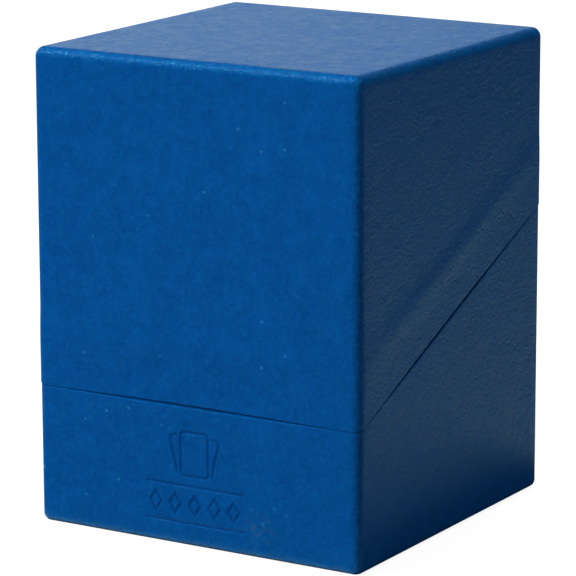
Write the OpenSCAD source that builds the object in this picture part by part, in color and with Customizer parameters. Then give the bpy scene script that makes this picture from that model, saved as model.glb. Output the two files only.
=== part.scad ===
// Deck box for sleeved trading cards: a low-fronted base, an inner collar that
// stands up out of it as a neck, and a deep lid that slides down over the neck.
// The base and the lid part along one plane that climbs from front to back.
// Frame: origin under the middle of the box, +Z up, the front faces -Y.

/* [Box] */
// Width of the closed box, across its front
box_w = 75.6; // [74:0.2:84]
// Depth of the closed box, front to back
box_d = 75.0; // [50:0.5:90]
// Height of the closed box
box_h = 98.0; // [96:0.5:104]
// Radius of every outer edge and corner
edge_r = 2.0; // [1:0.1:2.4]

/* [Parting] */
// Height of the parting line on the front face
front_seam_z = 28.6; // [27:0.1:34]
// Height of the parting line on the back face
back_seam_z = 61.3; // [45:0.1:70]
// Gap between the lid's rim and the base's rim, measured straight up
seam_gap = 0.3; // [0.1:0.02:0.4]

/* [Walls] */
// Wall of the base
base_t = 1.65; // [1.5:0.05:2.2]
// Wall of the collar
collar_t = 1.35; // [1:0.05:1.6]
// Floor of the base
floor_t = 2.2; // [1.6:0.1:3]
// Roof of the lid
roof_t = 2.0; // [1.5:0.1:3]

/* [Collar] */
// How far the collar stands above the parting plane, measured straight up
neck_h = 10.6; // [10.4:0.1:16]
// Joint gap between the collar and the inside of the base
glue_gap = 0.08; // [0.05:0.01:0.1]
// Running gap between the collar and the inside of the lid
neck_gap = 0.23; // [0.2:0.01:0.3]
// How far the closing bead stands out of the neck
bead_out = 0.13; // [0.08:0.01:0.14]
// Height of the middle of the bead above the parting plane
bead_z = 8.6; // [4:0.1:8.8]
// Width of the bead, measured straight up
bead_w = 1.8; // [1:0.1:2]
// Lead-in step at the top edge of the neck
lead_in = 0.4; // [0.2:0.05:0.6]

/* [Underside and ornament] */
// Depth of the shallow panel under the floor
panel_depth = 0.4; // [0.2:0.05:0.6]
// Width of the standing band around that panel
foot_band = 6; // [4:0.5:12]
// Radius of the moulding gate's dimple
gate_r = 4; // [3:0.5:6]
// Depth of the front ornament's grooves
groove_depth = 0.15; // [0.1:0.05:0.5]
// Width of the front ornament's grooves
groove_w = 0.6; // [0.4:0.05:0.9]

/* [Hidden] */
$fn = 96;
moulded_blue = [0.0, 0.286, 0.545];
past = 1;
seam_slope = (back_seam_z - front_seam_z) / box_d;
well_r = 0.5;
collar_r = 1.1;
collar_inset = base_t + glue_gap;
lid_t = collar_inset - neck_gap;
gate_depth = 0.5;
panel_r = 3;
nub_r = 1.1;
nub_h = 0.3;

// Ornament: a fan of three plain card outlines over a row of lozenges between two rules
card_w = 6.4;
card_h = 9.0;
card_r = 0.9;
card_gap = 0.9;
fan_angle = 15;
fan_pivot_z = 12.8;
card_drop = 1.8;
rule_w = 23;
rule_z = [4.9, 12.5];
lozenges = 5;
lozenge_z = 8.7;
lozenge_pitch = 4.6;
lozenge_half = [1.7, 2.4];
lozenge_inner = 1 - groove_w * norm(lozenge_half) / (lozenge_half.x * lozenge_half.y);

// A flat rectangle with round corners, centred on the origin
module rounded_rect(w, d, r) {
    square([w - 2 * r, d], center = true);
    square([w, d - 2 * r], center = true);
    for (sx = [-1, 1], sy = [-1, 1])
        translate([sx * (w / 2 - r), sy * (d / 2 - r)]) circle(r);
}

// A quarter of a round-ended post, turned about its own axis
module corner_post(h, r) {
    rotate_extrude(angle = 90) {
        translate([0, r]) square([r, h - 2 * r]);
        for (z = [r, h - r])
            intersection() {
                translate([0, z]) circle(r);
                translate([0, z - r]) square([r, 2 * r]);
            }
    }
}

// A block with all its edges rounded, standing on the floor plane
module rounded_block(w, d, h, r) {
    translate([-(w / 2 - r), 0, h / 2])
        rotate([90, 0, 90]) linear_extrude(w - 2 * r) rounded_rect(d, h, r);
    translate([0, d / 2 - r, h / 2])
        rotate([90, 0, 0]) linear_extrude(d - 2 * r) rounded_rect(w, h, r);
    for (turn = [0 : 3]) {
        along = turn % 2 == 0 ? w : d;
        across = turn % 2 == 0 ? d : w;
        rotate([0, 0, 90 * turn])
            translate([along / 2 - r, across / 2 - r, 0]) corner_post(h, r);
    }
}

// An upright prism with round vertical edges, inset from the box's outline
module inset_prism(inset, r, z0, z1) {
    translate([0, 0, z0])
        linear_extrude(z1 - z0) rounded_rect(box_w - 2 * inset, box_d - 2 * inset, r);
}

// Everything between two planes parallel to the parting plane, at heights lo and hi above it
module seam_slab(lo, hi) {
    y0 = -box_d / 2 - past;
    y1 = box_d / 2 + past;
    z0 = front_seam_z - past * seam_slope;
    z1 = back_seam_z + past * seam_slope;
    translate([-box_w, 0, 0]) rotate([90, 0, 90]) linear_extrude(2 * box_w)
        polygon([[y0, z0 + lo], [y1, z1 + lo], [y1, z1 + hi], [y0, z0 + hi]]);
}

module card_shape(grow) {
    rounded_rect(card_w + 2 * grow, card_h + 2 * grow, card_r + grow);
}

module card_outline() {
    difference() {
        card_shape(groove_w / 2);
        card_shape(-groove_w / 2);
    }
}

module fanned(angle) {
    translate([0, fan_pivot_z]) rotate(angle) translate([0, card_h / 2 + card_drop]) children();
}

module lozenge(scale_by) {
    a = lozenge_half.x * scale_by;
    b = lozenge_half.y * scale_by;
    polygon([[a, 0], [0, b], [-a, 0], [0, -b]]);
}

// The ornament's grooves, drawn in the plane of the front face
module ornament() {
    middle_of_fan = fan_pivot_z + card_drop + card_h / 2;
    fanned(0) card_outline();
    for (side = [-1, 1])
        difference() {
            fanned(side * fan_angle) card_outline();
            fanned(0) card_shape(card_gap);
            square([card_w + 2 * card_gap, 2 * middle_of_fan], center = true);
        }
    for (z = rule_z)
        translate([0, z]) square([rule_w, groove_w], center = true);
    for (i = [0 : lozenges - 1])
        translate([(i - (lozenges - 1) / 2) * lozenge_pitch, lozenge_z])
            difference() {
                lozenge(1);
                lozenge(lozenge_inner);
            }
}

module gate_dimple() {
    difference() {
        cylinder(r = gate_r, h = panel_depth + gate_depth);
        translate([0, 0, panel_depth + gate_depth - nub_h]) cylinder(r = nub_r, h = past);
    }
}

module base_shell() {
    color(moulded_blue)
        difference() {
            rounded_block(box_w, box_d, box_h, edge_r);
            seam_slab(0, 2 * box_h);
            inset_prism(base_t, well_r, floor_t, box_h + past);
            inset_prism(foot_band, panel_r, -past, panel_depth);
            gate_dimple();
            translate([0, groove_depth - box_d / 2, 0])
                rotate([90, 0, 0]) linear_extrude(groove_depth + past) ornament();
        }
}

module card_collar() {
    color(moulded_blue)
        difference() {
            union() {
                intersection() {
                    inset_prism(collar_inset, collar_r, floor_t, box_h);
                    seam_slab(-2 * box_h, neck_h - lead_in);
                }
                intersection() {
                    inset_prism(collar_inset + lead_in, collar_r - lead_in, floor_t, box_h);
                    seam_slab(-2 * box_h, neck_h);
                }
                intersection() {
                    inset_prism(collar_inset - bead_out, collar_r + bead_out, floor_t, box_h);
                    seam_slab(bead_z - bead_w / 2, bead_z + bead_w / 2);
                }
            }
            inset_prism(collar_inset + collar_t, well_r, floor_t - past, box_h + past);
        }
}

module lid_shell() {
    color(moulded_blue)
        difference() {
            rounded_block(box_w, box_d, box_h, edge_r);
            seam_slab(-2 * box_h, seam_gap);
            inset_prism(lid_t, well_r, -past, box_h - roof_t);
        }
}

base_shell();
card_collar();
lid_shell();
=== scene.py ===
"""A card deck box: two blue fibre-filled mouldings that part along a slanted plane, with a
collar inside. The three CAD nodes are stood for by detailed meshes, each lofted ring by ring."""

import math

import bpy
import numpy as np
from mathutils import Matrix, Vector


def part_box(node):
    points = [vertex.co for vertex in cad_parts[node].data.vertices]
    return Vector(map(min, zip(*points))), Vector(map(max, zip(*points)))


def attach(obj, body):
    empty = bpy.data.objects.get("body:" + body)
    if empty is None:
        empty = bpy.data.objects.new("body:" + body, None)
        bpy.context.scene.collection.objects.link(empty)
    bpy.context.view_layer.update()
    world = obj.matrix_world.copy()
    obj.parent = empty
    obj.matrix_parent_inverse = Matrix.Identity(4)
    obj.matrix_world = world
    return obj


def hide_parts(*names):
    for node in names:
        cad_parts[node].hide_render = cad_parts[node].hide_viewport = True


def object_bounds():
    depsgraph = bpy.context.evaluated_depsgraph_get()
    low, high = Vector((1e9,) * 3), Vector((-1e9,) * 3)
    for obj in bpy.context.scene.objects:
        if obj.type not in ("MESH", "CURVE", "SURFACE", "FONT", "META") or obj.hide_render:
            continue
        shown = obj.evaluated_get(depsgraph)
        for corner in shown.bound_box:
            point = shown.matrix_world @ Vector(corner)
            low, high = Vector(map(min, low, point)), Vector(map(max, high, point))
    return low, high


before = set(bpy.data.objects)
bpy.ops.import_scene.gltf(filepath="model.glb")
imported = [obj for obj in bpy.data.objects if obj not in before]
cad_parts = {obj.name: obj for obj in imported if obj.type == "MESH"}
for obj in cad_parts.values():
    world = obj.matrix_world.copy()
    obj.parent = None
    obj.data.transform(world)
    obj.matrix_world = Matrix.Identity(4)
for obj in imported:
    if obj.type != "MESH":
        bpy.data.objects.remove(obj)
CAD_LOW, CAD_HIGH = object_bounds()
MM = 0.001

# The box, from the frame
HALF_X = CAD_HIGH.x
HALF_Y = CAD_HIGH.y
TOP_Z = CAD_HIGH.z
SEAM_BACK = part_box("base_shell")[1].z
SEAM_GAP = 0.30 * MM
SEAM_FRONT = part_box("lid_shell")[0].z - SEAM_GAP
FLOOR_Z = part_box("card_collar")[0].z
NECK_H = 10.6 * MM

# Outer edges
CORNER_R = 2.03 * MM
TOP_R = 2.0 * MM
BOTTOM_R = 1.6 * MM

# Walls
BASE_T = 1.65 * MM
LID_T = 1.5 * MM
ROOF_T = 2.0 * MM
WELL_R = 0.5 * MM
FLOOR_FILLET = 0.45 * MM
UNDER_COLLAR = 0.02 * MM

# The rims along the seam. They all but meet at the corners, and stand apart between them
BASE_RIM_R = 0.13 * MM
LID_RIM_R = 0.2 * MM
INNER_RIM_R = 0.14 * MM
CORNER_GAP = 0.05 * MM
CORNER_RISE = 0.08 * MM
BASE_SAG = 0.18 * MM
LID_ARCH = 0.56 * MM

# The neck presses the lid out: on the walls in a band that follows the seam, steeper above than
# below, and at the stiff corners all the way down to the rim
SWELL = 0.24 * MM
SWELL_H = 12.0 * MM
SWELL_BELOW = 3.5 * MM
SWELL_ABOVE = 3.0 * MM
CORNER_SWELL = 0.15 * MM
CORNER_SWELL_H = 7.0 * MM
CORNER_SWELL_FADE = 5.0 * MM

# The collar
COLLAR_INSET = 1.73 * MM
COLLAR_T = 1.35 * MM
COLLAR_R = 1.1 * MM
BEAD_OUT = 0.13 * MM
BEAD_H = 8.6 * MM
BEAD_HALF_W = 0.9 * MM
LEAD_IN = 0.4 * MM

# The underside
PANEL_DEPTH = 0.4 * MM
FOOT_BAND = 6.0 * MM
PANEL_R = 3.0 * MM
GATE_R = 4.0 * MM
GATE_DEPTH = 0.5 * MM
NUB_R = 1.1 * MM
NUB_H = 0.3 * MM
SMALL_FILLET = 0.15 * MM

# The pressed ornament: a fan of three card outlines over lozenges between two rules
GROOVE_DEPTH = 0.15 * MM
GROOVE_W = 0.6 * MM
GROOVE_EDGE = 0.14 * MM
CARD_W = 6.4 * MM
CARD_H = 9.0 * MM
CARD_R = 0.9 * MM
CARD_GAP = 0.9 * MM
FAN_ANGLE = math.radians(15)
FAN_PIVOT_Z = 12.8 * MM
CARD_DROP = 1.8 * MM
RULE_W = 23.0 * MM
RULE_Z = (4.9 * MM, 12.5 * MM)
LOZENGES = 5
LOZENGE_Z = 8.7 * MM
LOZENGE_PITCH = 4.6 * MM
LOZENGE_A = 1.7 * MM
LOZENGE_B = 2.4 * MM
ORNAMENT_HALF_W = 12.2 * MM
ORNAMENT_LOW = 4.2 * MM
ORNAMENT_HIGH = 24.6 * MM
ORNAMENT_STEP = 0.12 * MM

# A cluster of undyed fibre, low on the front
SPECKS_PLACE = (15 * MM, -HALF_Y, 6.2 * MM)
SPECKS_REACH = 4.5 * MM

# Mesh density
CORNER_STEPS = 8
FILLET_STEPS = 7
RIM_STEPS = 6
SMALL_STEPS = 4
SIDE_STEPS = 28
LID_WALL_STEPS = 63
LID_WALL_BIAS = 1.35
NECK_STEPS = 44
MIDDLE_RING = 0.02

# The plastic's colours, in linear light
DARK_BLUE = (0.0001, 0.0490, 0.218)
LIGHT_BLUE = (0.0003, 0.0700, 0.288)
STREAK_BLUE = (0.0006, 0.043, 0.205)
GRAIN_BLUE = (0.0002, 0.087, 0.240)
FIBRE_BLUE = (0.0006, 0.098, 0.350)
# Painted shade: the darker blue painted into the ornament's grooves
GROOVE_SHADE_BLUE = (0.0002, 0.030, 0.150)
# Partly wear and partly painted highlight: the lighter blue painted on worn edges, standing in for part
# of the glint along them
WORN_AND_HIGHLIT_BLUE = (0.0040, 0.150, 0.400)
UNDYED = (0.045, 0.090, 0.090)

# Its flecks: cells per metre, radius and share of the cells, and colour
FLECKS = (
    (380.0, 0.17, 0.06, (0.010, 0.120, 0.330)),
    (300.0, 0.10, 0.02, (0.050, 0.210, 0.400)),
    (520.0, 0.14, 0.02, (0.020, 0.075, 0.150)),
)

# Its texture, in features per metre
MOTTLE_SCALE = 260.0
FLOW_SCALE = 90.0
FIBRE_SCALE = 800.0
GRAIN_SCALE = 1400.0
SCUFF_SCALE = 1500.0
SPECK_SCALE = 900.0

# Its surface: gloss, relief, and the share that each layer adds to the relief
GLOSS_IOR = 1.22
ROUGH_LOW, ROUGH_HIGH = 0.30, 0.42
FIBRE_SMOOTH, FIBRE_ROUGH = -0.05, 0.06
WEAR_POLISH = 0.27
# How strongly worn edges are painted lighter, partly wear and partly a painted highlight; the upright
# edges get less
WEAR_AND_HIGHLIGHT_TINT = 0.90
UPRIGHT_WEAR = 0.35
RELIEF = 0.15 * MM
EDGE_RELIEF = 0.5
GRAIN_RISE, FIBRE_RISE, MOTTLE_RISE, WEAR_RISE = 0.9, 0.7, 1.1, 0.85

# The camera
CAMERA_PLACE = (0.3573, -0.5857, 0.2027)
CAMERA_YAW = math.radians(31.467)
CAMERA_PITCH = math.radians(12.881)
CAMERA_ROLL = math.radians(-0.17)
CAMERA_LENS = 214.2

# The lamps, which light the box softly and aren't mirrored in it: place, size and power
LAMPS = {
    "key": ((-1.20, -1.53, 1.06), 0.9, 64.0),
    "overhead": ((0.10, 0.30, 1.25), 0.8, 8.0),
    "fill": ((1.22, 0.26, 0.52), 0.6, 2.1),
    "back": ((-0.20, 1.40, 0.55), 0.8, 5.0),
}

# The room and the floor
ROOM_LIGHT = 0.05
FLOOR_WHITE = 0.22
FLOOR_GLOW = 0.9
FLOOR_HALF = 3.0
FLOOR_DROP = 0.05 * MM

# What the gloss mirrors instead of the lamps
TABLE_SHINE = 0.95
BACKDROP_SHINE = 1.66
LAMP_SHINE = 9.0
TABLE_TINT = (1.0, 1.62, 1.50, 1.0)
BACKDROP_TINT = (1.0, 1.33, 1.33, 1.0)
LAMP_TINT = (1.0, 2.12, 2.20, 1.0)
KEY_WAY = (-0.545, -0.838, 0)
LAMP_WAY = (-0.55, -0.45, 0.70)
LAMP_RIM, LAMP_CORE = 0.955, 0.994
DIM = 0.02
# Painted into the floor's reflection near the box: a glowing strip along the front and the left, standing
# in for lit table, and black within the contact distances, standing in for the box's shadow
TABLE_EDGE_SHINE = 0.9
TABLE_EDGE_TINT = (1.0, 2.0, 1.5, 1.0)
TABLE_EDGE_NEAR = 1 * MM
TABLE_EDGE_FAR = 4.5 * MM
STRIP_START = -0.5 * MM
CONTACT_NEAR = 4 * MM
CONTACT_FAR = 28 * MM


# ---------------------------------------------------------------- outlines and rings

def even_side():
    """Places along a straight side, from -1 to 1."""
    return np.linspace(-1, 1, SIDE_STEPS + 1)


def ornament_side():
    """Places along the front side, close together where the ornament is."""
    edge = ORNAMENT_HALF_W / (HALF_X - CORNER_R)
    dense = np.linspace(-edge, edge, round(2 * ORNAMENT_HALF_W / ORNAMENT_STEP) + 1)
    steps = SIDE_STEPS // 3
    left = np.linspace(-1, -edge, steps + 1)[:-1]
    right = np.linspace(edge, 1, steps + 1)[1:]
    return np.concatenate([left, dense, right])


def outline(sides, inset, corner_r):
    """Points and outward normals once round the box, anticlockwise from above, from the front."""
    points, normals = [], []
    for side in range(4):
        along, across = (HALF_X, HALF_Y) if side % 2 == 0 else (HALF_Y, HALF_X)
        run = along - inset - corner_r
        out = across - inset
        t = sides[side]
        turn = np.radians(90 * side)
        spin = np.array([[math.cos(turn), -math.sin(turn)], [math.sin(turn), math.cos(turn)]])
        arc = np.radians(np.linspace(-90, 0, CORNER_STEPS + 1)[1:-1])
        arc_normals = np.stack([np.cos(arc), np.sin(arc)], 1)
        straight = np.stack([t * run, np.full(len(t), -out)], 1)
        centre = np.array([run, -(out - corner_r)])
        local = np.concatenate([straight, centre + corner_r * arc_normals])
        facing = np.concatenate([np.tile([0.0, -1.0], (len(t), 1)), arc_normals])
        points.append(local @ spin.T)
        normals.append(facing @ spin.T)
    return np.concatenate(points), np.concatenate(normals)


def ring(sides, inset, corner_r, height):
    """A ring of points at that inset. The height is a number, or a function of x and y."""
    flat, _ = outline(sides, inset, corner_r)
    z = height(flat[:, 0], flat[:, 1]) if callable(height) else np.full(len(flat), height)
    return np.column_stack([flat, z])


def round_ring(sides, radius, z):
    """A circular ring about the middle, its points in line with the box outline's points."""
    flat, _ = outline(sides, 0, CORNER_R)
    flat = flat / np.linalg.norm(flat, axis=1)[:, None] * radius
    return np.column_stack([flat, np.full(len(flat), z)])


def between(a, b, steps):
    """The rings strictly between two rings."""
    return [a + (b - a) * k / steps for k in range(1, steps)]


def quarter(steps=FILLET_STEPS):
    """Sine and one minus cosine over a quarter turn, for the rings of a fillet."""
    return [(math.sin(a), 1 - math.cos(a)) for a in np.linspace(0, math.pi / 2, steps + 1)]


def loft(name, rings, closed_tube=False):
    """A closed mesh through the rings. Its ends are capped, unless it closes on itself."""
    count = len(rings[0])
    vertices = np.concatenate(rings)
    here = np.arange(count)
    following = np.roll(here, -1)
    last = len(rings) if closed_tube else len(rings) - 1
    faces = []
    for i in range(last):
        low, high = i * count, (i + 1) % len(rings) * count
        quads = np.stack([low + here, low + following, high + following, high + here], 1)
        faces.extend(quads.tolist())
    if not closed_tube:
        faces.append(here[::-1].tolist())
        faces.append((here + (len(rings) - 1) * count).tolist())
    mesh = bpy.data.meshes.new(name)
    mesh.from_pydata(vertices.tolist(), [], faces)
    mesh.validate()
    mesh.shade_smooth()
    piece = bpy.data.objects.new(name, mesh)
    bpy.context.scene.collection.objects.link(piece)
    return piece


# ---------------------------------------------------------------- the seam and the swell

def arch(x, y):
    """1 in the middle of each side, and 0 at the corners, where it starts gently."""
    return (1 - np.clip(np.abs(x / HALF_X * y / HALF_Y), 0, 1) ** 2) ** 1.5


def seam(x, y):
    """Height of the base's rim: a plane that climbs to the back, with a slight sag."""
    climb = (SEAM_BACK - SEAM_FRONT) / (2 * HALF_Y)
    plane = SEAM_FRONT + climb * (y + HALF_Y)
    return plane + CORNER_RISE - BASE_SAG * arch(x, y)


def above_seam(rise, extra_arch=0.0):
    """A height that runs along the seam, that much above it."""
    return lambda x, y: seam(x, y) + rise + extra_arch * arch(x, y)


def toward_seam(low, share, rise, extra_arch=0.0):
    """A height that is a share of the way from a level up to a line above the seam."""
    return lambda x, y: low + share * (above_seam(rise, extra_arch)(x, y) - low)


def swell_lid(points, normals):
    """Pushes the lid's outer wall out where the neck stands behind it."""
    x, y = np.clip(points[:, 0] / HALF_X, -1, 1), np.clip(points[:, 1] / HALF_Y, -1, 1)
    middle = 1 - (x * y) ** 2
    rise = points[:, 2] - seam(points[:, 0], points[:, 1])
    width = np.where(rise < SWELL_H, SWELL_BELOW, SWELL_ABOVE)
    band = SWELL * np.sqrt(middle) * np.exp(-((rise - SWELL_H) / width) ** 2)
    past_neck = np.maximum(rise - CORNER_SWELL_H, 0) / CORNER_SWELL_FADE
    corner = CORNER_SWELL * (1 - middle) ** 2 * np.exp(-past_neck ** 2)
    points[:, :2] += normals * (band + corner)[:, None]
    return points


# ---------------------------------------------------------------- the pressed ornament

def box_distance(x, z, half_w, half_h, corner_r):
    """Distance to the edge of a rounded rectangle, negative inside it."""
    dx = np.abs(x) - (half_w - corner_r)
    dz = np.abs(z) - (half_h - corner_r)
    outside = np.hypot(np.maximum(dx, 0), np.maximum(dz, 0))
    return outside + np.minimum(np.maximum(dx, dz), 0) - corner_r


def card_distance(x, z, angle):
    """Distance to the edge of one card of the fan, negative inside it."""
    rise = z - FAN_PIVOT_Z
    across = x * math.cos(angle) + rise * math.sin(angle)
    up = rise * math.cos(angle) - x * math.sin(angle)
    return box_distance(across, up - CARD_DROP - CARD_H / 2, CARD_W / 2, CARD_H / 2, CARD_R)


def lozenge_distance(x, z):
    """Distance to the edge of a lozenge, negative inside it."""
    slant = LOZENGE_A * LOZENGE_B / math.hypot(LOZENGE_A, LOZENGE_B)
    return (np.abs(x) / LOZENGE_A + np.abs(z) / LOZENGE_B - 1) * slant


def ornament_distance(x, z):
    """Distance to the nearest groove's edge, negative inside the groove."""
    middle_of_fan = FAN_PIVOT_Z + CARD_DROP + CARD_H / 2
    front_card = card_distance(x, z, 0)
    found = np.abs(front_card) - GROOVE_W / 2
    below = np.maximum(np.abs(x) - CARD_W / 2 - CARD_GAP, z - middle_of_fan)
    hidden = np.minimum(front_card - CARD_GAP, below)
    for angle in (-FAN_ANGLE, FAN_ANGLE):
        behind = np.abs(card_distance(x, z, angle)) - GROOVE_W / 2
        found = np.minimum(found, np.maximum(behind, -hidden))
    for height in RULE_Z:
        found = np.minimum(found, box_distance(x, z - height, RULE_W / 2, GROOVE_W / 2, 0))
    for i in range(LOZENGES):
        place = (i - (LOZENGES - 1) / 2) * LOZENGE_PITCH
        edge = lozenge_distance(x - place, z - LOZENGE_Z)
        found = np.minimum(found, np.abs(edge + GROOVE_W / 2) - GROOVE_W / 2)
    return found


def pressed_share(x, z):
    """How deep the ornament is pressed at a place on the front: 0 on the wall, 1 in a groove."""
    share = np.clip(0.5 - ornament_distance(x, z) / (2 * GROOVE_EDGE), 0, 1)
    return share * share * (3 - 2 * share)


def press_ornament(points):
    """Sinks the grooves into the front wall."""
    front = points[:, 1] < -HALF_Y + 1e-7
    depth = GROOVE_DEPTH * pressed_share(points[:, 0], points[:, 2])
    points[:, 1] += np.where(front, depth, 0)
    return points


def mark_ornament(piece):
    """Stores how deep each point is pressed, so that shade can be painted into the grooves."""
    points = np.array([vertex.co for vertex in piece.data.vertices])
    front = points[:, 1] < -HALF_Y + 2 * GROOVE_DEPTH
    share = np.where(front, pressed_share(points[:, 0], points[:, 2]), 0.0)
    marks = piece.data.attributes.new("pressed", "FLOAT", "POINT")
    marks.data.foreach_set("value", share.astype(np.float32))


def mark_edges(piece):
    """Stores how far round an outer edge each point is, from 0 on the flat walls to 1 in
    mid-turn, and how much wear and painted highlight it gets there: less along the upright edges."""
    points = np.array([vertex.co for vertex in piece.data.vertices])
    depths = np.stack([HALF_X - np.abs(points[:, 0]), HALF_Y - np.abs(points[:, 1]),
                       np.minimum(points[:, 2], TOP_Z - points[:, 2])], 1)
    share = np.clip(1 - np.sort(depths, axis=1)[:, 1] / CORNER_R, 0, 1)
    near_end = np.clip(2 - depths[:, 2] / CORNER_R, 0, 1)
    worn = share * (UPRIGHT_WEAR + (1 - UPRIGHT_WEAR) * near_end)
    for name, values in (("rounded", share), ("worn", worn)):
        marks = piece.data.attributes.new(name, "FLOAT", "POINT")
        marks.data.foreach_set("value", values.astype(np.float32))


# ---------------------------------------------------------------- the three mouldings

def underside_rings(sides):
    """From the gate's nub, out through its dimple and the panel, to the standing band."""
    ceiling = PANEL_DEPTH + GATE_DEPTH
    nub_z = ceiling - NUB_H
    f = SMALL_FILLET
    rings = [round_ring(sides, NUB_R * 0.3, nub_z), round_ring(sides, NUB_R - 2 * f, nub_z)]
    rings += [round_ring(sides, NUB_R - f + f * s, nub_z + f * c) for s, c in quarter(SMALL_STEPS)]
    rings += [round_ring(sides, NUB_R, ceiling)]
    rings += between(rings[-1], round_ring(sides, GATE_R - f, ceiling), 4)
    rings += [round_ring(sides, GATE_R - f + f * s, ceiling - f * c) for s, c in quarter(SMALL_STEPS)]
    rings += [round_ring(sides, GATE_R + f * c, PANEL_DEPTH + f - f * s) for s, c in quarter(SMALL_STEPS)]
    edge = ring(sides, FOOT_BAND + f, PANEL_R - f, PANEL_DEPTH)
    rings += between(rings[-1], edge, 12)
    rings += [ring(sides, FOOT_BAND + f - f * s, PANEL_R - f + f * s, PANEL_DEPTH - f * c)
              for s, c in quarter(SMALL_STEPS)]
    rings += [ring(sides, FOOT_BAND - f * c, PANEL_R + f * c, f - f * s) for s, c in quarter(SMALL_STEPS)]
    rings += between(rings[-1], ring(sides, BOTTOM_R, CORNER_R - BOTTOM_R, 0), 4)
    return rings


def base_wall_rings(sides):
    """The base's outer wall, close together where the ornament is pressed in."""
    top = seam(0, -HALF_Y) - BASE_RIM_R
    run = top - BOTTOM_R
    steps = round((ORNAMENT_HIGH - ORNAMENT_LOW) / ORNAMENT_STEP)
    low_share = (ORNAMENT_LOW - BOTTOM_R) / run
    high_share = (ORNAMENT_HIGH - BOTTOM_R) / run
    shares = np.concatenate([
        np.linspace(0, low_share, 5)[1:-1],
        np.linspace(low_share, high_share, steps + 1),
        np.linspace(high_share, 1, 9)[1:-1],
    ])
    rings = [ring(sides, 0, CORNER_R, toward_seam(BOTTOM_R, s, -BASE_RIM_R)) for s in shares]
    return [press_ornament(r) for r in rings]


def make_base():
    """The lower moulding, from the middle of its underside round to the middle of its floor."""
    sides = [ornament_side(), even_side(), even_side(), even_side()]
    rings = underside_rings(sides)
    rings += [ring(sides, BOTTOM_R * (1 - s), CORNER_R - BOTTOM_R * (1 - s), BOTTOM_R * c)
              for s, c in quarter()]
    rings += base_wall_rings(sides)
    rings += [ring(sides, BASE_RIM_R * c, CORNER_R - BASE_RIM_R * c,
                   above_seam(BASE_RIM_R * (s - 1))) for s, c in quarter(RIM_STEPS)]
    inner = BASE_T - INNER_RIM_R
    rings += between(rings[-1], ring(sides, inner, WELL_R + INNER_RIM_R, above_seam(0)), 3)
    rings += [ring(sides, inner + INNER_RIM_R * s, WELL_R + INNER_RIM_R * (1 - s),
                   above_seam(-INNER_RIM_R * c)) for s, c in quarter(SMALL_STEPS)]
    low = FLOOR_Z - UNDER_COLLAR + FLOOR_FILLET
    rings += [ring(sides, BASE_T, WELL_R, toward_seam(low, share, -INNER_RIM_R))
              for share in np.linspace(1, 0, 10)[1:-1]]
    rings += [ring(sides, BASE_T + FLOOR_FILLET * c, WELL_R - FLOOR_FILLET * c,
                   low - FLOOR_FILLET * s) for s, c in quarter(SMALL_STEPS)]
    rings += between(rings[-1], rings[-1] * [MIDDLE_RING, MIDDLE_RING, 1], 16)
    rings.append(rings[-1] * [0.5, 0.5, 1])
    piece = loft("base_moulding", rings)
    mark_ornament(piece)
    mark_edges(piece)
    return piece


def make_lid():
    """The upper moulding, from the middle of its ceiling round to the middle of its top."""
    sides = [even_side()] * 4
    roof_z = TOP_Z - ROOF_T
    shoulder = roof_z - FLOOR_FILLET
    corner = ring(sides, LID_T + FLOOR_FILLET, WELL_R - FLOOR_FILLET, roof_z)
    rings = [corner * [MIDDLE_RING, MIDDLE_RING, 1]]
    rings += between(rings[0], corner, 16)
    rings += [ring(sides, LID_T + FLOOR_FILLET * (1 - s), WELL_R - FLOOR_FILLET * (1 - s),
                   roof_z - FLOOR_FILLET * c) for s, c in quarter(SMALL_STEPS)]
    rim = CORNER_GAP
    rings += [ring(sides, LID_T, WELL_R, toward_seam(shoulder, share, rim + INNER_RIM_R, LID_ARCH))
              for share in np.linspace(0, 1, 14)[1:-1]]
    rings += [ring(sides, LID_T - INNER_RIM_R * c, WELL_R + INNER_RIM_R * c,
                   above_seam(rim + INNER_RIM_R * (1 - s), LID_ARCH)) for s, c in quarter(SMALL_STEPS)]
    _, normals = outline(sides, 0, CORNER_R)
    rim_rings = [ring(sides, LID_RIM_R * (1 - s), CORNER_R - LID_RIM_R * (1 - s),
                      above_seam(rim + LID_RIM_R * c, LID_ARCH)) for s, c in quarter(RIM_STEPS)]
    rim_rings = [swell_lid(r, normals) for r in rim_rings]
    rings += between(rings[-1], rim_rings[0], 3) + rim_rings
    wall_top = TOP_Z - TOP_R
    shares = np.linspace(0, 1, LID_WALL_STEPS + 1) ** LID_WALL_BIAS
    for share in shares[1:-1]:
        below = toward_seam(wall_top, 1 - share, rim + LID_RIM_R, LID_ARCH)
        wall = ring(sides, 0, CORNER_R, below)
        rings.append(swell_lid(wall, normals))
    rings += [ring(sides, TOP_R * c, CORNER_R - TOP_R * c, wall_top + TOP_R * s)
              for s, c in quarter()]
    rings += between(rings[-1], rings[-1] * [MIDDLE_RING, MIDDLE_RING, 1], 24)
    rings.append(rings[-1] * [0.5, 0.5, 1])
    piece = loft("lid_moulding", rings)
    mark_edges(piece)
    return piece


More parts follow.
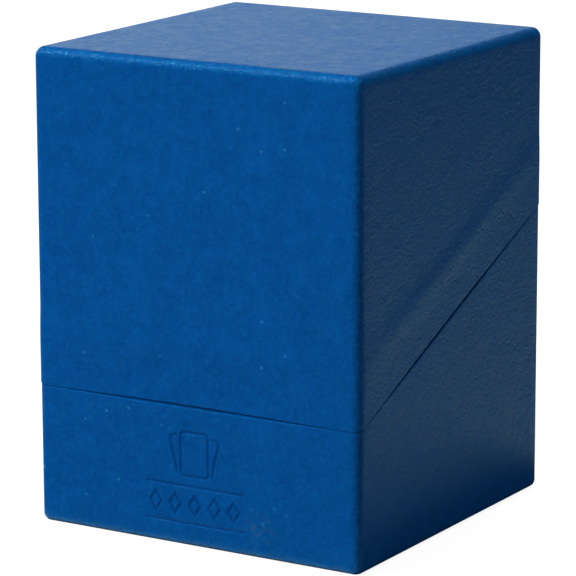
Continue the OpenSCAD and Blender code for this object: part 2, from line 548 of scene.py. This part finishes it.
def make_collar():
    """The sleeve in the base, up its outside and over the bead, then down its inside."""
    sides = [even_side()] * 4
    outer, inner = COLLAR_INSET, COLLAR_INSET + COLLAR_T
    top = NECK_H - LEAD_IN
    rings = [ring(sides, outer, COLLAR_R, FLOOR_Z)]
    rings += [ring(sides, outer, COLLAR_R, toward_seam(FLOOR_Z, share, 0))
              for share in np.linspace(0, 1, 9)[1:]]
    for rise in np.linspace(0, top, NECK_STEPS + 1)[1:]:
        across = np.clip((rise - BEAD_H) / BEAD_HALF_W, -1, 1)
        out = BEAD_OUT * (1 - across ** 2) ** 2
        rings.append(ring(sides, outer - out, COLLAR_R + out, above_seam(rise)))
    rings += [ring(sides, outer + LEAD_IN * c, COLLAR_R - LEAD_IN * c,
                   above_seam(top + LEAD_IN * s)) for s, c in quarter()]
    rings += [ring(sides, inner - LEAD_IN * (1 - s), WELL_R + LEAD_IN * (1 - s),
                   above_seam(NECK_H - LEAD_IN * c)) for s, c in quarter()]
    rings += [ring(sides, inner, WELL_R, toward_seam(FLOOR_Z, share, top))
              for share in np.linspace(1, 0, 16)[1:]]
    return loft("collar_sleeve", rings, closed_tube=True)


# ---------------------------------------------------------------- material

def node(tree, kind, **settings):
    """A new node, with its sockets or its own settings filled in by name."""
    made = tree.nodes.new(kind)
    for key, value in settings.items():
        if key in made.inputs:
            made.inputs[key].default_value = value
        else:
            setattr(made, key, value)
    return made


def noise(tree, coords, scale, detail, rough, distortion=0.0):
    """Cloudy noise around a half, with that many layers of finer detail."""
    made = node(tree, "ShaderNodeTexNoise", Scale=scale, Detail=detail, Roughness=rough,
                Distortion=distortion)
    tree.links.new(coords, made.inputs["Vector"])
    return made.outputs["Fac"]


def remap(tree, value, low, high, to_low, to_high):
    """A value moved from one range to another, and held within it."""
    made = node(tree, "ShaderNodeMapRange", clamp=True)
    made.inputs["From Min"].default_value = low
    made.inputs["From Max"].default_value = high
    made.inputs["To Min"].default_value = to_low
    made.inputs["To Max"].default_value = to_high
    tree.links.new(value, made.inputs["Value"])
    return made.outputs["Result"]


def maths(tree, operation, a, b):
    """One operation on two numbers or sockets."""
    made = node(tree, "ShaderNodeMath", operation=operation)
    for socket, value in zip(made.inputs, (a, b)):
        if isinstance(value, (int, float)):
            socket.default_value = value
        else:
            tree.links.new(value, socket)
    return made.outputs[0]


def tint(tree, factor, base, colour):
    """The base colour, moved toward another colour by a factor."""
    made = node(tree, "ShaderNodeMix", data_type="RGBA")
    tree.links.new(factor, made.inputs[0])
    for socket, value in ((made.inputs[6], base), (made.inputs[7], colour)):
        if isinstance(value, tuple):
            socket.default_value = value + (1.0,)
        else:
            tree.links.new(value, socket)
    return made.outputs[2]


def flecks(tree, coords, scale, radius, share):
    """Small round flecks: 1 inside one, 0 outside. Only that share of the cells holds one."""
    cells = node(tree, "ShaderNodeTexVoronoi", Scale=scale, Randomness=1.0)
    tree.links.new(coords, cells.inputs["Vector"])
    pick = node(tree, "ShaderNodeSeparateColor")
    tree.links.new(cells.outputs["Color"], pick.inputs[0])
    inside = remap(tree, cells.outputs["Distance"], radius, radius * 0.5, 0.0, 1.0)
    picked = maths(tree, "LESS_THAN", pick.outputs[0], share)
    return maths(tree, "MULTIPLY", inside, picked)


def stretched(tree, coords, angles, scale):
    """Coordinates turned and squeezed, so that noise runs out into streaks."""
    made = node(tree, "ShaderNodeMapping")
    made.inputs["Rotation"].default_value = angles
    made.inputs["Scale"].default_value = scale
    tree.links.new(coords, made.inputs["Vector"])
    return made.outputs["Vector"]


def mottled_blue(tree, coords, mottle, flow, fibres, grain):
    """The plastic's colour: two blues, clouded and streaked, with short fibres and flecks."""
    colour = tint(tree, remap(tree, mottle, 0.30, 0.70, 0.0, 1.0), DARK_BLUE, LIGHT_BLUE)
    colour = tint(tree, remap(tree, flow, 0.42, 0.66, 0.0, 0.26), colour, STREAK_BLUE)
    colour = tint(tree, remap(tree, grain, 0.35, 0.65, 0.0, 0.40), colour, GRAIN_BLUE)
    colour = tint(tree, remap(tree, fibres, 0.50, 0.72, 0.0, 0.42), colour, FIBRE_BLUE)
    for scale, radius, share, fleck_colour in FLECKS:
        colour = tint(tree, flecks(tree, coords, scale, radius, share), colour, fleck_colour)
    return colour


def painted_groove_shade(tree, colour):
    """Darkens the colour where the ornament is pressed in: painted shade in the grooves."""
    pressed = node(tree, "ShaderNodeAttribute", attribute_name="pressed").outputs["Fac"]
    return tint(tree, maths(tree, "MULTIPLY", pressed, 0.42), colour, GROOVE_SHADE_BLUE)


def edge_wear_and_highlight(tree, coords):
    """Short scuffs across the rounded edges: 0 on the flat walls, up to 1 on an edge. They weigh the wear
    and also the highlight painted on the edges.
    """
    worn = node(tree, "ShaderNodeAttribute", attribute_name="worn").outputs["Fac"]
    scuffs = remap(tree, noise(tree, coords, SCUFF_SCALE, 3.0, 0.6), 0.44, 0.58, 0.0, 1.0)
    return maths(tree, "MULTIPLY", worn, scuffs)


def tan_specks(tree, place, colour):
    """A small cluster of undyed fibre below the ornament's right end."""
    away = node(tree, "ShaderNodeVectorMath", operation="DISTANCE")
    tree.links.new(place, away.inputs[0])
    away.inputs[1].default_value = SPECKS_PLACE
    near = remap(tree, away.outputs["Value"], SPECKS_REACH * 0.3, SPECKS_REACH, 1.0, 0.0)
    specks = remap(tree, noise(tree, place, SPECK_SCALE, 3.0, 0.6), 0.50, 0.62, 0.0, 0.30)
    return tint(tree, maths(tree, "MULTIPLY", near, specks), colour, UNDYED)


def roughness(tree, mottle, fibres, wear_and_highlight):
    """Duller and glossier patches, with worn edges polished."""
    patches = maths(tree, "ADD", remap(tree, mottle, 0.3, 0.7, ROUGH_LOW, ROUGH_HIGH),
                    remap(tree, fibres, 0.3, 0.7, FIBRE_SMOOTH, FIBRE_ROUGH))
    return maths(tree, "SUBTRACT", patches, maths(tree, "MULTIPLY", wear_and_highlight, WEAR_POLISH))


def relief(tree, grain, fibres, mottle, wear_and_highlight):
    """The fine unevenness of the surface, shallower round the edges."""
    height = maths(tree, "MULTIPLY", grain, GRAIN_RISE)
    for layer, rise in ((fibres, FIBRE_RISE), (mottle, MOTTLE_RISE), (wear_and_highlight, WEAR_RISE)):
        height = maths(tree, "ADD", height, maths(tree, "MULTIPLY", layer, rise))
    rounded = node(tree, "ShaderNodeAttribute", attribute_name="rounded").outputs["Fac"]
    bump = node(tree, "ShaderNodeBump", Distance=RELIEF)
    tree.links.new(remap(tree, rounded, 0.0, 1.0, 1.0, EDGE_RELIEF), bump.inputs["Strength"])
    tree.links.new(height, bump.inputs["Height"])
    return bump.outputs["Normal"]


def moulded_plastic(name, offset, has_ornament):
    """Fibre-filled blue plastic: mottled, with flow streaks, short fibres and sparse flecks."""
    material = bpy.data.materials.new(name)
    material.use_nodes = True
    tree = material.node_tree
    shader = tree.nodes["Principled BSDF"]
    place = node(tree, "ShaderNodeTexCoord").outputs["Object"]
    moved = node(tree, "ShaderNodeMapping")
    moved.inputs["Location"].default_value = offset
    tree.links.new(place, moved.inputs["Vector"])
    coords = moved.outputs["Vector"]

    mottle = noise(tree, coords, MOTTLE_SCALE, 6.0, 0.68, 0.5)
    flow = noise(tree, stretched(tree, coords, (0.5, 0.25, 0.4), (1.0, 1.0, 0.35)),
                 FLOW_SCALE, 5.0, 0.65, 1.6)
    fibres = noise(tree, stretched(tree, coords, (0.3, 0.5, 0.7), (1.0, 0.7, 1.0)),
                   FIBRE_SCALE, 4.0, 0.62, 0.5)
    grain = noise(tree, coords, GRAIN_SCALE, 3.0, 0.6)
    wear_and_highlight = edge_wear_and_highlight(tree, coords)

    colour = mottled_blue(tree, coords, mottle, flow, fibres, grain)
    # Painted highlight: worn edges painted a lighter blue, partly real wear and partly standing in for
    # the glint along them
    colour = tint(tree, maths(tree, "MULTIPLY", wear_and_highlight, WEAR_AND_HIGHLIGHT_TINT), colour, WORN_AND_HIGHLIT_BLUE)
    if has_ornament:
        # Shade is painted into the grooves; the tan specks are the plastic's own colour
        colour = tan_specks(tree, place, painted_groove_shade(tree, colour))
    tree.links.new(colour, shader.inputs["Base Color"])
    tree.links.new(roughness(tree, mottle, fibres, wear_and_highlight), shader.inputs["Roughness"])
    tree.links.new(relief(tree, grain, fibres, mottle, wear_and_highlight), shader.inputs["Normal"])
    shader.inputs["IOR"].default_value = GLOSS_IOR
    return material


# ---------------------------------------------------------------- studio

def make_camera():
    """From the front right and a little above, through a long lens."""
    yaw, pitch, roll = CAMERA_YAW, CAMERA_PITCH, CAMERA_ROLL
    forward = Vector((-math.sin(yaw) * math.cos(pitch), math.cos(yaw) * math.cos(pitch),
                      -math.sin(pitch)))
    right = Vector((math.cos(yaw), math.sin(yaw), 0))
    up = right.cross(forward)
    tilted_right = right * math.cos(roll) + up * math.sin(roll)
    tilted_up = up * math.cos(roll) - right * math.sin(roll)
    turn = Matrix((tilted_right, tilted_up, -forward)).transposed().to_4x4()
    data = bpy.data.cameras.new("camera")
    data.sensor_width = 36.0
    data.lens = CAMERA_LENS
    data.clip_start = 0.01
    data.clip_end = 20.0
    camera = bpy.data.objects.new("camera", data)
    camera.matrix_world = Matrix.Translation(CAMERA_PLACE) @ turn
    bpy.context.scene.collection.objects.link(camera)
    bpy.context.scene.camera = camera


def soft_light(name, place, target, size, power):
    """A round lamp that lights the box without showing in its gloss."""
    data = bpy.data.lights.new(name, "AREA")
    data.shape = "DISK"
    data.size = size
    data.energy = power
    lamp = bpy.data.objects.new(name, data)
    lamp.location = place
    lamp.visible_glossy = False
    lamp.rotation_euler = (Vector(target) - Vector(place)).to_track_quat("-Z", "Y").to_euler()
    bpy.context.scene.collection.objects.link(lamp)


def facing(tree, direction, toward):
    """How closely a direction faces another: the cosine of the angle between them."""
    made = node(tree, "ShaderNodeVectorMath", operation="DOT_PRODUCT")
    tree.links.new(direction, made.inputs[0])
    made.inputs[1].default_value = Vector(toward).normalized()
    return made.outputs["Value"]


def smooth(tree, value, low, high, to_low, to_high):
    """Like remap, with a gentle start and end."""
    result = remap(tree, value, low, high, to_low, to_high)
    result.node.interpolation_type = "SMOOTHSTEP"
    return result


def reflected_room(tree, direction):
    """What gloss reflects: a pale table, a backdrop low down, and one soft lamp.

    Each is tinted toward blue and green, to take red out of the gloss: the plastic's real blue is
    purer than a screen shows. The limits are cosines of the angles at which each part fades.
    """
    up = facing(tree, direction, (0, 0, 1))
    along_key = facing(tree, direction, KEY_WAY)
    away_from_key = smooth(tree, along_key, -0.95, -0.5, 1.0, 0.0)
    beside_key = smooth(tree, maths(tree, "ABSOLUTE", along_key, 0.0), 0.2, 0.85, 1.0, 0.0)
    table = maths(tree, "MULTIPLY", smooth(tree, up, -0.36, -0.16, TABLE_SHINE, DIM), away_from_key)
    rising = smooth(tree, up, 0.0, 0.08, 0.0, BACKDROP_SHINE)
    backdrop = maths(tree, "MULTIPLY", rising, smooth(tree, up, 0.18, 0.36, 1.0, DIM))
    backdrop = maths(tree, "MULTIPLY", backdrop, beside_key)
    toward_lamp = facing(tree, direction, LAMP_WAY)
    lamp = smooth(tree, toward_lamp, LAMP_RIM, LAMP_CORE, 0.0, LAMP_SHINE)
    lit = [glow(tree, TABLE_TINT, table), glow(tree, BACKDROP_TINT, backdrop),
           glow(tree, LAMP_TINT, lamp)]
    return added(tree, added(tree, lit[0], lit[1]), lit[2])


def glow(tree, colour, strength):
    """Light given off, with a strength that is a number or a socket."""
    made = node(tree, "ShaderNodeEmission", Color=colour)
    if isinstance(strength, float):
        made.inputs["Strength"].default_value = strength
    else:
        tree.links.new(strength, made.inputs["Strength"])
    return made.outputs[0]


def added(tree, a, b):
    """Two shaders on top of each other."""
    made = node(tree, "ShaderNodeAddShader")
    tree.links.new(a, made.inputs[0])
    tree.links.new(b, made.inputs[1])
    return made.outputs[0]


def chosen(tree, factor, a, b):
    """The first shader where the factor is 0, and the second where it is 1."""
    made = node(tree, "ShaderNodeMixShader")
    tree.links.new(factor, made.inputs[0])
    tree.links.new(a, made.inputs[1])
    tree.links.new(b, made.inputs[2])
    return made.outputs[0]


def make_world():
    """White to the camera, a dim even room for soft light, and a plain studio for reflections."""
    world = bpy.data.worlds.new("studio")
    bpy.context.scene.world = world
    world.cycles.sampling_method = "NONE"
    world.use_nodes = True
    tree = world.node_tree
    tree.nodes.clear()
    white = (1, 1, 1, 1)
    rays = node(tree, "ShaderNodeLightPath")
    direction = node(tree, "ShaderNodeTexCoord").outputs["Generated"]
    unseen = chosen(tree, rays.outputs["Is Glossy Ray"], glow(tree, white, ROOM_LIGHT),
                    reflected_room(tree, direction))
    seen = chosen(tree, rays.outputs["Is Camera Ray"], unseen, glow(tree, white, 1.0))
    tree.links.new(seen, node(tree, "ShaderNodeOutputWorld").inputs["Surface"])


def paint_floor_reflection_near_box(tree, shader):
    """For gloss only, the floor close to the box is painted black, a painted shadow, with a glowing strip
    along the front and the left, a painted reflection of lit table.

    Further out it sees past the floor, into the reflected room.
    """
    place = node(tree, "ShaderNodeSeparateXYZ")
    tree.links.new(node(tree, "ShaderNodeTexCoord").outputs["Object"], place.inputs[0])
    x, y = place.outputs[0], place.outputs[1]
    past_x = maths(tree, "SUBTRACT", maths(tree, "ABSOLUTE", x, 0.0), HALF_X)
    past_y = maths(tree, "SUBTRACT", maths(tree, "ABSOLUTE", y, 0.0), HALF_Y)
    far = smooth(tree, maths(tree, "MAXIMUM", past_x, past_y), CONTACT_NEAR, CONTACT_FAR, 0.0, 1.0)
    before_front = maths(tree, "SUBTRACT", maths(tree, "MULTIPLY", y, -1.0), HALF_Y)
    beyond_left = maths(tree, "SUBTRACT", maths(tree, "MULTIPLY", x, -1.0), HALF_X)
    lit_side = maths(tree, "MAXIMUM", before_front, beyond_left)
    strip = smooth(tree, lit_side, TABLE_EDGE_NEAR, TABLE_EDGE_FAR, TABLE_EDGE_SHINE, 0.0)
    strip = maths(tree, "MULTIPLY", strip, maths(tree, "GREATER_THAN", lit_side, STRIP_START))
    clear = node(tree, "ShaderNodeBsdfTransparent").outputs[0]
    # Painted reflection: black near the box for its shadow, with a glowing strip for lit table
    mirrored = chosen(tree, far, glow(tree, TABLE_EDGE_TINT, strip), clear)
    glossy = node(tree, "ShaderNodeLightPath").outputs["Is Glossy Ray"]
    either = chosen(tree, glossy, shader.outputs[0], mirrored)
    tree.links.new(either, tree.nodes["Material Output"].inputs["Surface"])


def make_floor():
    """A plain pale floor. It is lit from within for the camera, so that its shadow stays faint."""
    half = FLOOR_HALF
    mesh = bpy.data.meshes.new("floor")
    corners = [(-half, -half, 0), (half, -half, 0), (half, half, 0), (-half, half, 0)]
    mesh.from_pydata(corners, [], [(0, 1, 2, 3)])
    floor = bpy.data.objects.new("floor", mesh)
    floor.location.z = CAD_LOW.z - FLOOR_DROP
    bpy.context.scene.collection.objects.link(floor)
    material = bpy.data.materials.new("pale_floor")
    material.use_nodes = True
    tree = material.node_tree
    shader = tree.nodes["Principled BSDF"]
    shader.inputs["Base Color"].default_value = (FLOOR_WHITE, FLOOR_WHITE, FLOOR_WHITE, 1)
    shader.inputs["Roughness"].default_value = 0.9
    shader.inputs["Specular IOR Level"].default_value = 0.0
    shader.inputs["Emission Color"].default_value = (1, 1, 1, 1)
    seen = maths(tree, "MULTIPLY", node(tree, "ShaderNodeLightPath").outputs["Is Camera Ray"],
                 FLOOR_GLOW)
    tree.links.new(seen, shader.inputs["Emission Strength"])
    paint_floor_reflection_near_box(tree, shader)
    mesh.materials.append(material)


def make_lights():
    """The four soft lamps, all aimed at the middle of the box."""
    for name, (place, size, power) in LAMPS.items():
        soft_light(name, place, (0, 0, TOP_Z / 2), size, power)


make_camera()
make_world()
make_floor()
make_lights()
bpy.context.scene.view_settings.view_transform = "Standard"

pieces = (
    (make_base(), "base", "base_shell", (0.0, 0.0, 0.0)),
    (make_collar(), "base", "card_collar", (0.4, 0.1, 0.2)),
    (make_lid(), "lid", "lid_shell", (0.2, 0.5, 0.3)),
)
for piece, body, cad_node, offset in pieces:
    has_ornament = cad_node == "base_shell"
    piece.data.materials.append(moulded_plastic(piece.name + "_plastic", offset, has_ornament))
    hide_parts(cad_node)
    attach(piece, body)
